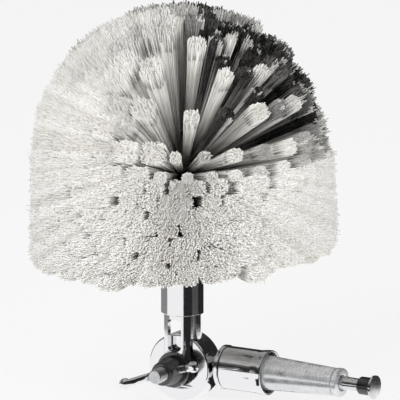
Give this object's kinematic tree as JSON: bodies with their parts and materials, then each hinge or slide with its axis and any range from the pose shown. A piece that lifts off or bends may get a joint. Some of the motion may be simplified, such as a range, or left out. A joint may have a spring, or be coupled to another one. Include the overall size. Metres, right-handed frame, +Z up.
{
  "type": "adjustable pole brush",
  "caption": "Round dome-shaped brush head on a slotted metal neck that tilts on a clamped knuckle, with a wing nut, a flared socket and a tapered stub whose plug takes a pole.",
  "frame": {"origin": "centre of the flat end face of the stub's plug, where the pole couples", "axes": "+X along the stub's axis, out of its end towards the pole; +Z up along the brush head's axis in the pictured pose; the pivot bolt lies along Y, its wing nut on the -Y side"},
  "size_m": [0.2402, 0.2025, 0.2677],
  "materials": {
    "bristle": "matte pale bristle, some strands dark towards their tips",
    "core_wood": "turned and plain",
    "chrome": "polished plate",
    "zinc_steel": "zinc plated",
    "bush_brass": "plain turned",
    "fibre": "pressed fibre",
    "satin_aluminium": "satin turned",
    "dark_steel": "dark turned"
  },
  "bodies": {
    "pole_side": {"knuckle_drum": "chrome", "pivot_bolt": "zinc_steel", "friction_washer": "fibre", "flat_washer": "chrome", "pole_socket": "chrome", "socket_rivet": "zinc_steel", "pole_stub": "satin_aluminium", "stub_ring": "satin_aluminium", "end_plug": "dark_steel"},
    "brush_head": {"tuft_crown": "bristle", "tuft_dome": "bristle", "tuft_band_1": "bristle", "tuft_band_2": "bristle", "tuft_band_3": "bristle", "tuft_band_4": "bristle", "core_block": "core_wood", "core_stud": "zinc_steel", "core_nut": "zinc_steel", "core_washer": "zinc_steel", "backing_plate": "zinc_steel", "head_ferrule": "chrome", "ferrule_screw": "zinc_steel", "slotted_neck": "chrome", "pivot_bush": "bush_brass"},
    "nut_travel": {"lock_washer": "zinc_steel"},
    "wing_nut": {"wing_nut": "chrome"}
  },
  "joints": [
    {"name": "head_tilt", "type": "hinge", "parent": "pole_side", "child": "brush_head", "pos_m": [-0.139, -0.008, 0], "axis": [0, 1, 0], "range_deg": [-200, 20]},
    {"name": "nut_slide", "type": "slide", "parent": "pole_side", "child": "nut_travel", "axis": [0, -1, 0], "range_m": [0, 0.003]},
    {"name": "nut_turn", "type": "hinge", "parent": "nut_travel", "child": "wing_nut", "pos_m": [-0.139, -0.008, 0], "axis": [0, -1, 0], "range_deg": [0, 720]}
  ],
  "couplings": [
    {"joint": "nut_turn", "follows": "nut_slide", "rad_per_m": 4188.8}
  ]
}
